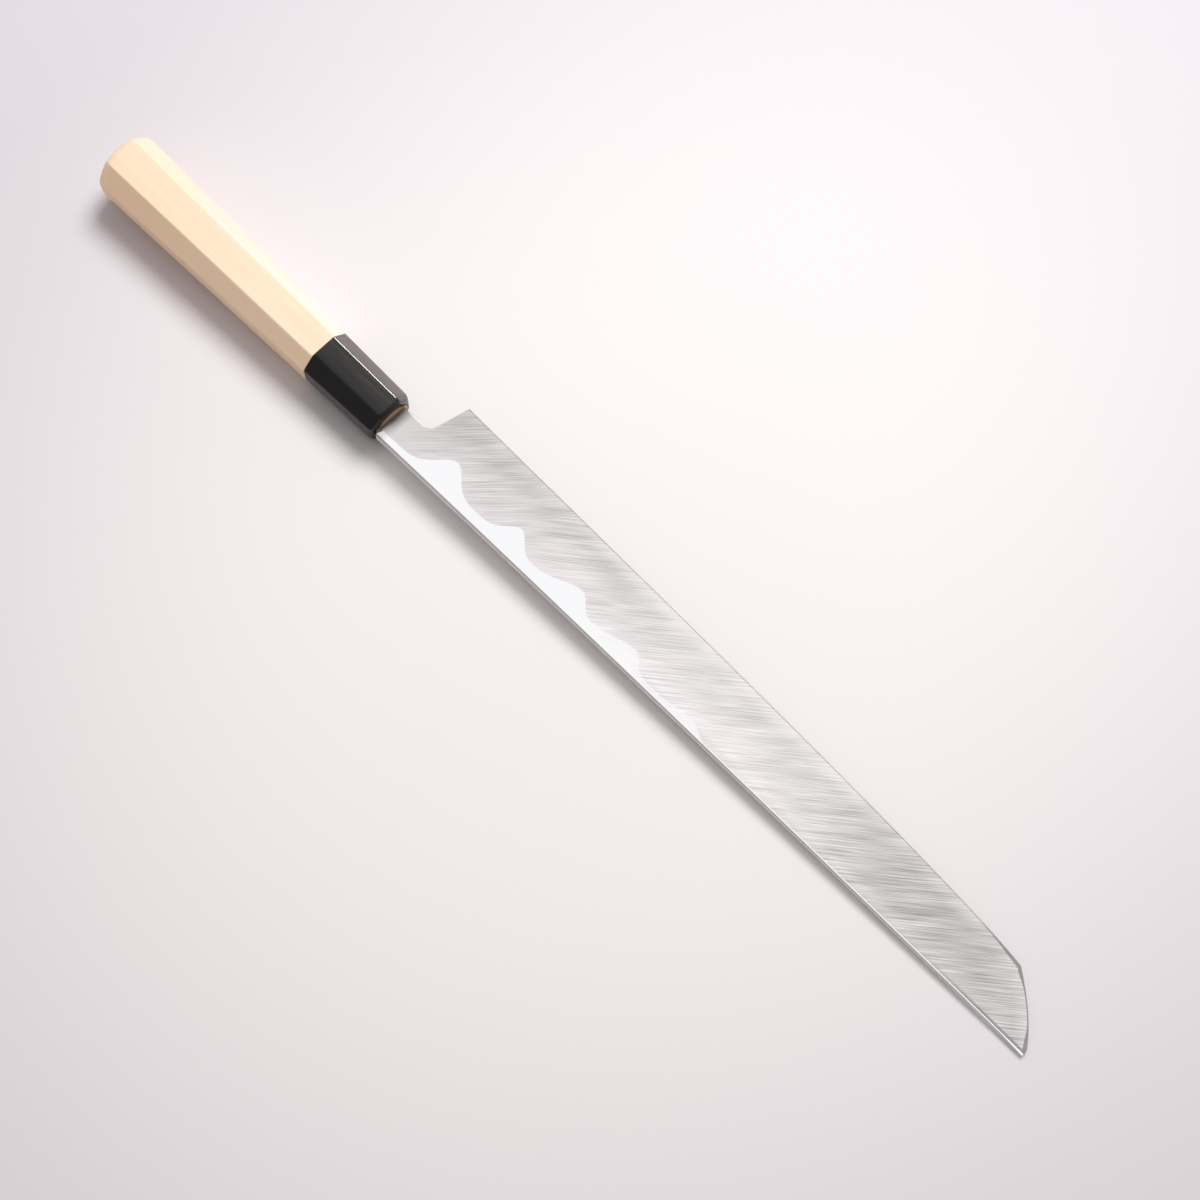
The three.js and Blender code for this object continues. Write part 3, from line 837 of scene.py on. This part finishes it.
@dataclass(frozen=True)
class BackSteel(Finish):
    """Back face: satin hollow with slanting grinding lines and a bright polished land with a wavy border.

    Attributes:
        satin: Colour of the ground hollow.
        bright: Colour of the polished land, and of the painted highlights on the rims of the neck and the
            spine.
        dark: Colour of the painted dark reflections on the narrow facets at the edge and the tip.
        mouth: Colour of the horn's painted dark reflection on the steel that lies close to the ferrule.
        slant: Angle of the grinding lines to the spine at the heel, in degrees.
        lean: How much nearer to the spine's direction they run beyond the heel.
        lean_from: Place along the knife at which they start to lean.
        tone: Share of the satin's colour on the plain hollow.
        soft: Half width of the land's border.
        fade: Distance from that border over which its painted glow falls to a half.
        crests: Waves of the land's border.
    """

    name: str = "steel_back"
    satin: Colour = (1.0, 0.958, 0.95)
    bright: Colour = (0.945, 0.945, 0.955)
    dark: Colour = (0.30, 0.295, 0.29)
    mouth: Colour = (0.12, 0.112, 0.105)
    slant: float = 45.0
    lean: float = 0.135
    lean_from: float = 65.0
    tone: float = 0.794
    soft: float = 0.16
    fade: float = 1.5
    crests: tuple[Crest, ...] = (
        Crest(29.0, 9.3, 6.6, 6.3),
        Crest(62.8, 6.9, 5.2, 4.8),
        Crest(94.0, 6.0, 9.0, 4.2),
        Crest(122.0, 5.2, 9.5, 4.0),
        Crest(153.0, 3.2, 9.5, 4.5),
    )

    def border(self, x: Value) -> Value:
        """Finds how far from the spine the polished land reaches: a base that fades out, and its waves.

        Args:
            x: Place along the knife.

        Returns:
            The land's width there.
        """
        reach = 2.9 + 1.6 * x.step(12.0, 46.0) - 4.9 * x.step(80.0, 192.0)
        for crest in self.crests:
            reach = reach + crest.height * x.peak(crest.x, crest.before, crest.after)
        return reach

    def paint(self, graph: Graph) -> None:
        """Mixes satin, polish and painted light by the place on the blade: painted reflections on the hollow
        and on the dark facets, painted highlights on the rims, and the horn's painted dark reflection at the
        mouth.

        Args:
            graph: The empty tree.
        """
        x, off_spine, off_edge = graph.place()
        # Grinding lines that slant at the heel and lean beyond it, with strokes and clouds along them
        cos, sin = math.cos(math.radians(self.slant)), math.sin(math.radians(self.slant))
        along = x * cos + off_spine * sin
        lean = self.lean * (x - self.lean_from) * x.step(50.0, 80.0)
        across = off_spine * cos - x * sin + lean
        lines = graph.noise(along * 0.035, across * 5.4, 0.0, 1.0, 0.7)
        strokes = graph.noise(along * 0.11, across * 3.2, 3.0, 0.0)
        clouds = graph.noise(along * 0.05, across * 0.25, 9.0, 1.0)
        grain = 1.1 * (lines - NOISE_MEAN) + 0.2 * (strokes - NOISE_MEAN) + 0.3 * (clouds - NOISE_MEAN)
        grain = grain * (1.0 + 0.12 * x.step(150.0, 230.0)) * (0.25 + 0.75 * x.step(6.0, 20.0))
        # Tone of the hollow along the blade, by the land, by the spine, and by the edge: painted reflection,
        # lighter and darker bands where the satin mirrors brighter or darker surroundings
        border = self.border(x)
        polish = off_spine.step(border + self.soft, border - self.soft)
        middle, tip, heel = x.peak(135.0, 40.0, 38.0), x.step(190.0, 240.0), x.step(60.0, 25.0)
        by_land = 0.5 ** ((off_spine - border) / self.fade)
        by_spine = off_spine.step(15.0, 4.0) * x.step(200.0, 160.0)
        by_edge = off_edge.step(6.0, 0.8) * x.step(60.0, 110.0)
        dim_reflection = off_edge.peak(6.5, 3.0, 4.0) * x.step(140.0, 90.0)
        gleam = off_spine.step(7.0, 2.0) * x.peak(228.0, 30.0, 30.0)
        tone = self.tone + 0.03 * middle - 0.187 * tip - 0.02 * heel + 0.025 * by_land + 0.055 * by_spine
        tone = tone + 0.115 * by_edge - 0.06 * dim_reflection + 0.07 * gleam
        ground = graph.mix(tone + grain, BLACK, self.satin)
        face = graph.mix(polish * (1.0 - 0.35 * x.step(95.0, 130.0)), ground, self.bright)
        # Painted dark reflections on the facet along the edge, broader at the tip's corner and at the point,
        # and on the rolled spine
        facet = 0.5 + 1.05 * x.peak(288.2, 9.0, 3.2) + 1.3 * x.peak(306.0, 2.0, 2.0)
        line = off_edge.step(facet, facet * 0.7) * (0.6 + 0.4 * x.step(262.0, 282.0))
        roll = off_spine.step(0.8, 1.05) * off_spine.step(2.1, 1.4) * x.step(258.0, 292.0)
        # Painted highlights on the rims of the neck and the spine, whose polish also lowers the roughness,
        # and the horn's painted dark reflection in the ferrule's mouth
        neck = off_spine.step(13.95, 14.2) * x.step(12.0, 10.2) * x.step(1.4, 2.6)
        mouth = x.step(6.0, 1.2) * (0.35 + 0.45 * off_spine.step(2.0, 9.0))
        shine = off_spine.step(0.95, 0.75) + neck
        face = graph.mix(line * 0.9, face, self.dark)
        face = graph.mix(roll * 0.9, face, self.dark)
        face = graph.mix(mouth, graph.mix(shine, face, self.bright), self.mouth)
        polish = polish + shine * (1.0 - polish)
        graph.surface({
            "Base Color": face,
            "Metallic": 1.0,
            "Roughness": 0.3 - 0.21 * polish + 0.05 * (lines - NOISE_MEAN),
            "Normal": graph.bump(lines * (1.0 - polish), GRIND_DEPTH),
        })


@dataclass(frozen=True)
class GroundSteel(Finish):
    """Ground faces of the steel layer: the bevel by the edge, and its sides."""

    name: str = "steel_ground"
    colour: Colour = (0.72, 0.715, 0.705)
    deep: Colour = (0.1, 0.1, 0.1)
    tone: float = 0.72

    def paint(self, graph: Graph) -> None:
        """Shades fine grinding lines across the bevel.

        Args:
            graph: The empty tree.
        """
        x, _, off_edge = graph.place()
        lines = graph.noise(x * 2.2, off_edge * 0.06, 0.0, 3.0, 0.6)
        graph.surface({
            "Base Color": graph.mix(self.tone + 0.5 * (lines - NOISE_MEAN), self.deep, self.colour),
            "Metallic": 1.0,
            "Roughness": 0.3 + 0.12 * (lines - NOISE_MEAN),
            "Normal": graph.bump(lines, GRIND_DEPTH),
        })


@dataclass(frozen=True)
class SoftIron(Finish):
    """Soft iron: satin on the front flat, hazy on the bevel, and a matte spine whose bright warm colour is
    partly painted light.
    """

    name: str = "soft_iron"
    colour: Colour = (0.62, 0.6, 0.58)
    spine: Colour = (0.95, 0.85, 0.78)
    bevel_start: Pair = (15.7, 15.3)
    spine_end: Pair = (0.6, 0.1)
    tone: float = 0.82

    def paint(self, graph: Graph) -> None:
        """Shades long grinding lines on the flat and cross lines with haze on the bevel.

        Args:
            graph: The empty tree.
        """
        x, off_spine, off_edge = graph.place()
        long_lines = graph.noise(x * 0.05, off_spine * 2.4, 0.0, 3.0, 0.6)
        cross = graph.noise(x * 1.8, off_edge * 0.07, 3.0, 3.0, 0.6)
        bevel = off_edge.step(*self.bevel_start)
        lines = long_lines + bevel * (cross - long_lines)
        haze = graph.noise(x * 0.08, off_edge * 0.2, 7.0, 2.0)
        tone = self.tone - 0.1 * bevel + 0.3 * (lines - NOISE_MEAN) + 0.2 * bevel * (haze - NOISE_MEAN)
        # The spine's bright warm colour is partly its matte finish and partly painted light that stands in
        # for fill on the spine's side.
        spine = off_spine.step(*self.spine_end)
        face = graph.mix(tone, BLACK, self.colour)
        graph.surface({
            "Base Color": graph.mix(spine * (0.8 + 0.3 * long_lines), face, self.spine),
            "Metallic": 1.0 - 0.7 * spine,
            "Roughness": 0.33 + 0.14 * bevel + 0.17 * spine + 0.1 * (lines - NOISE_MEAN),
            "Normal": graph.bump(lines, GRIND_DEPTH),
        })


@dataclass(frozen=True)
class Horn(Finish):
    """Polished black horn with faint streaks along the handle."""

    name: str = "horn"
    black: Colour = (0.005, 0.0045, 0.0043)
    streak_sheen_colour: Colour = (0.05, 0.043, 0.038)
    painted_sheen: Colour = (0.175, 0.148, 0.14)
    streak_sheen_band: Pair = (3.5, 13.5)
    edge_side: Pair = (13.2, 14.3)

    def paint(self, graph: Graph) -> None:
        """Mixes black and grey-brown streaks under a polish, with painted sheen: more streaks towards the
        edge's side, and a lighter colour on that side.

        Args:
            graph: The empty tree.
        """
        x, y, z = graph.place()
        wander = graph.noise(x * 0.05, y * 0.1, z * 0.1, 1.0)
        fine = graph.noise(x * 0.035, y * 1.6 + wander * 2.0, z * 1.6, 4.0, 0.65)
        broad = graph.noise(x * 0.03, y * 0.22, z * 0.22, 2.0)
        share = 0.2 + 0.7 * fine.step(0.35, 0.7) + 0.5 * (broad - NOISE_MEAN)
        # Real streaks and painted sheen: the streaks fade in towards the edge's side, so the top lightens
        # towards the ridge.
        streaks_and_sheen = y.step(*self.streak_sheen_band) * share
        body = graph.mix(streaks_and_sheen, self.black, self.streak_sheen_colour)
        # Painted sheen: the edge's side is lighter where it faces the light.
        side = y.step(*self.edge_side) * (0.25 + 1.1 * fine)
        graph.surface({
            "Base Color": graph.mix(side, body, self.painted_sheen),
            "Roughness": 0.15 + 0.1 * (fine - NOISE_MEAN),
            "IOR": 1.45,
            "Normal": graph.bump(fine, POLISH_DEPTH),
        })


@dataclass(frozen=True)
class PaleWood(Finish):
    """Pale plain wood with fine straight grain; the tenon's end is stained brown by burning in the tang."""

    name: str = "pale_wood"
    light: Colour = (0.945, 0.76, 0.57)
    grain: Colour = (0.94, 0.60, 0.345)
    painted_sheen: Colour = (0.96, 0.78, 0.685)
    end_light: Colour = (0.22, 0.153, 0.084)
    end_dark: Colour = (0.125, 0.073, 0.036)
    burnt: Colour = (0.03, 0.019, 0.012)
    lip: Colour = (0.33, 0.215, 0.13)
    blade_middle: float = 2.3
    blade_half: float = 2.3
    spine_side: Pair = (3.6, 1.6)
    edge_side: Pair = (13.4, 15.4)
    tenon_end: Pair = (-3.0, -2.0)

    def paint(self, graph: Graph) -> None:
        """Mixes grain lines, soft bands and small flecks along the handle, with painted light and shade by
        place, and stains the tenon's end.

        Args:
            graph: The empty tree.
        """
        x, y, z = graph.place()
        wander = graph.noise(x * 0.012, y * 0.05, z * 0.05, 1.0)
        fine = graph.noise(x * 0.03, y * 2.4 + wander * 3.0, z * 2.4, 2.0, 0.6)
        bands = graph.noise(x * 0.008, y * 0.16 + wander, z * 0.16, 2.0)
        flecks = graph.noise(x * 0.22, y * 3.0, z * 3.0, 1.0).step(0.66, 0.78)
        # Painted light and shade: the wood is lighter towards the front where the light is stronger, and
        # takes more of the grain colour on the shaded spine's side.
        share = 0.25 - 0.18 * x.step(-140.0, -50.0) + 0.9 * (fine - NOISE_MEAN)
        share = share + 0.6 * (bands - NOISE_MEAN) + 0.25 * flecks + 0.35 * y.step(*self.spine_side)
        # Painted sheen on the edge's side, stronger towards the front.
        edgeward = y.step(*self.edge_side) * (0.3 + 0.7 * x.step(-140.0, -85.0))
        plain = graph.mix(share, graph.mix(edgeward, self.light, self.painted_sheen), self.grain)
        rings = graph.noise(x, y * 0.35, z * 2.4, 3.0)
        off_blade = ((z + self.blade_middle) ** 2.0) ** 0.5 - self.blade_half
        above = off_blade + 0.5 * (rings - NOISE_MEAN)
        end = graph.mix(above.step(1.3, 2.2), self.end_dark, self.end_light)
        end = graph.mix(above.step(0.95, 0.7), end, self.burnt)
        end = graph.mix(above.step(0.55, 0.35), end, self.lip)
        graph.surface({
            "Base Color": graph.mix(x.step(*self.tenon_end), plain, end),
            "Roughness": 0.42 + 0.15 * (fine - NOISE_MEAN),
            "Specular IOR Level": 0.9,
            "Normal": graph.bump(fine + 0.4 * flecks, GRIND_DEPTH),
        })


@dataclass(frozen=True)
class Paper(Finish):
    """Pale, slightly pink backdrop paper with a painted falloff of light: darker away from its centre over
    the distances of the fade.
    """

    name: str = "paper"
    colour: Colour = (0.84, 0.81, 0.815)
    far: Colour = (0.678, 0.650, 0.684)
    centre: Pair = (0.02, 0.0)
    fade: Pair = (0.08, 0.36)
    spread: Pair = (1.1, 0.92)
    tooth: float = 700.0

    def paint(self, graph: Graph) -> None:
        """Shades a faint even tooth, and darkens the paper away from the knife as a painted falloff of light.

        Args:
            graph: The empty tree.
        """
        spot = graph.node("ShaderNodeTexCoord", {}, {})
        split = graph.node("ShaderNodeSeparateXYZ", {}, {0: Value(graph, spot.outputs["Object"])})
        x, y, _ = (Value(graph, port) for port in split.outputs)
        tooth = graph.noise(x * self.tooth, y * self.tooth, 0.0, 3.0, 0.6)
        # Painted falloff of light: the paper darkens away from its centre.
        along, side = (self.spread[i] * (at - self.centre[i]) for i, at in enumerate((x, y)))
        away = (along ** 2.0 + side ** 2.0) ** 0.5
        graph.surface({
            "Base Color": graph.mix(0.1 * tooth + away.step(*self.fade), self.colour, self.far),
            "Roughness": 0.95,
            "Specular IOR Level": 0.1,
        })


@dataclass(frozen=True)
class Glow:
    """A soft light that shiny faces mirror: its way, its colour, and the angles over which it fades out."""

    way: Point
    colour: Colour
    inner: float
    outer: float


@dataclass
class Studio:
    """Floor, light and camera of the photograph.

    Attributes:
        look: Point that the camera looks at, in metres.
        azimuth: Direction of the camera, in degrees.
        elevation: Height of the camera, in degrees.
        distance: From the point to the camera, in metres.
        lens: Focal length in millimetres.
        sensor: Width of the camera's sensor in millimetres.
        near: Distance in metres within which the camera sees nothing.
    """

    look: Point = (0.0211436, -0.0011542, 0.0116953)
    azimuth: float = 44.6307
    elevation: float = 72.0093
    distance: float = 0.699965
    lens: float = 60.7256
    sensor: float = 36.0
    near: float = 0.01
    floor_half: float = 3.0
    lamp_colour: Colour = (1.0, 0.985, 0.975)
    key_place: Point = (-0.22, 0.66, 1.02)
    key_aim: Point = (0.0, 0.06, 0.0)
    key_size: float = 0.66
    key_power: float = 9.9
    soft_power: float = 2.5
    strip_place: Point = (-0.36, 1.08, 0.67)
    strip_aim: Point = (-0.09, 0.0, 0.01)
    strip_size: float = 0.62
    strip_power: float = 36.0
    room: Colour = (0.34, 0.32, 0.317)
    glows: tuple[Glow, ...] = (
        Glow((-0.03, 0.20, 0.98), (1.0, 0.995, 1.005), 17.0, 29.0),
        Glow((-0.05, 0.63, 0.78), (2.0, 1.98, 1.97), 9.0, 16.0),
    )

    def floor(self) -> None:
        """Lays the backdrop under the knife."""
        size = self.floor_half
        mesh = bpy.data.meshes.new("floor")
        corners = [(-size, -size, 0.0), (size, -size, 0.0), (size, size, 0.0), (-size, size, 0.0)]
        mesh.from_pydata(corners, [], [(0, 1, 2, 3)])
        made = bpy.data.objects.new("floor", mesh)
        bpy.context.scene.collection.objects.link(made)
        mesh.materials.append(Paper().material())

    def _lamp(self, name: str, place: Point, aim: Point, size: float, power: float) -> Piece:
        """Hangs a round soft lamp.

        Args:
            name: Name of the lamp.
            place: Where it hangs, in metres.
            aim: Point that it faces.
            size: Its diameter in metres.
            power: Its power in watts.

        Returns:
            The lamp, which the camera doesn't see.
        """
        data = bpy.data.lights.new(name, "AREA")
        data.shape, data.size, data.energy = "DISK", size, power
        data.color = self.lamp_colour
        lamp = bpy.data.objects.new(name, data)
        lamp.location = place
        lamp.rotation_euler = (Vector(aim) - Vector(place)).to_track_quat("-Z", "Y").to_euler()
        lamp.visible_camera = False
        bpy.context.scene.collection.objects.link(lamp)
        return lamp

    def _group(self, name: str, *members: Piece) -> bpy.types.Collection:
        """Gathers pieces for a lamp.

        Args:
            name: Name of the group.
            members: The pieces.

        Returns:
            The group.
        """
        group = bpy.data.collections.new(name)
        for member in members:
            group.objects.link(member)
        return group

    def lights(self, pieces: dict[str, Piece]) -> None:
        """Sets the key light, a share of it that the blade lets by, a lamp for the horn alone, and the room.

        Args:
            pieces: The pieces by the name of their node.
        """
        horn, wood = pieces["horn_ferrule"], pieces["wood_handle"]
        key = self._lamp("key", self.key_place, self.key_aim, self.key_size, self.key_power)
        soft = self._lamp("soft_key", self.key_place, self.key_aim, self.key_size, self.soft_power)
        key.visible_glossy = soft.visible_glossy = False
        soft.light_linking.blocker_collection = self._group("handle", horn, wood)
        strip = self._lamp("strip", self.strip_place, self.strip_aim, self.strip_size, self.strip_power)
        strip.visible_diffuse = False
        strip.light_linking.receiver_collection = self._group("horn", horn)

        world = bpy.data.worlds.new("room")
        bpy.context.scene.world = world
        world.use_nodes = True
        graph = Graph(world.node_tree)
        way = graph.node("ShaderNodeTexCoord", {}, {})
        sky = self.room
        for glow in self.glows:
            dot = graph.node(
                "ShaderNodeVectorMath",
                {"operation": "DOT_PRODUCT"},
                {0: Value(graph, way.outputs["Generated"]), 1: Vector(glow.way).normalized()},
            )
            inner, outer = (math.cos(math.radians(angle)) for angle in (glow.inner, glow.outer))
            sky = graph.mix(Value(graph, dot.outputs["Value"]).step(outer, inner), sky, glow.colour)
        shine = graph.node("ShaderNodeBackground", {}, {0: sky, 1: 1.0})
        graph.node("ShaderNodeOutputWorld", {}, {0: Value(graph, shine.outputs[0])})

    def camera(self) -> None:
        """Sets the camera at the photograph's angle."""
        turn, rise = math.radians(self.azimuth), math.radians(self.elevation)
        back = Vector((math.sin(turn) * math.cos(rise), -math.cos(turn) * math.cos(rise), math.sin(rise)))
        data = bpy.data.cameras.new("camera")
        data.lens, data.sensor_width, data.clip_start = self.lens, self.sensor, self.near
        made = bpy.data.objects.new("camera", data)
        made.location = Vector(self.look) + self.distance * back
        made.rotation_euler = (-back).to_track_quat("-Z", "Y").to_euler()
        bpy.context.scene.collection.objects.link(made)
        bpy.context.scene.camera = made


@dataclass
class Knife:
    """The whole knife: blade and handle in one pose, each piece with its finishes."""

    pose: Pose = field(default_factory=Pose)

    def dress(self) -> dict[str, Piece]:
        """Builds every piece, gives it its finish and lets it stand for its CAD node.

        Returns:
            The pieces by the name of their node.
        """
        blade, handle = Blade(self.pose), Handle(self.pose)
        parts = [
            (blade.steel(), "edge_steel", "edge_steel", [BackSteel(), GroundSteel()]),
            (blade.iron(), "blade_iron", "blade_iron", [SoftIron()]),
            (handle.ferrule(), "horn_ferrule", "horn", [Horn()]),
            (handle.wood(), "wood_handle", "handle_wood", [PaleWood()]),
        ]
        for piece, node, slot, finishes in parts:
            for finish in finishes:
                piece.data.materials.append(finish.material())
            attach(piece, "root")
            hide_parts(node)
        return {node: piece for piece, node, _, _ in parts}


def main() -> None:
    """Builds the knife, then the studio."""
    logging.basicConfig(level=logging.INFO)
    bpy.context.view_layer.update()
    pieces = Knife().dress()
    studio = Studio()
    studio.floor()
    studio.lights(pieces)
    studio.camera()
    bpy.context.scene.view_settings.view_transform = "Standard"


if __name__ == "__main__":
    main()
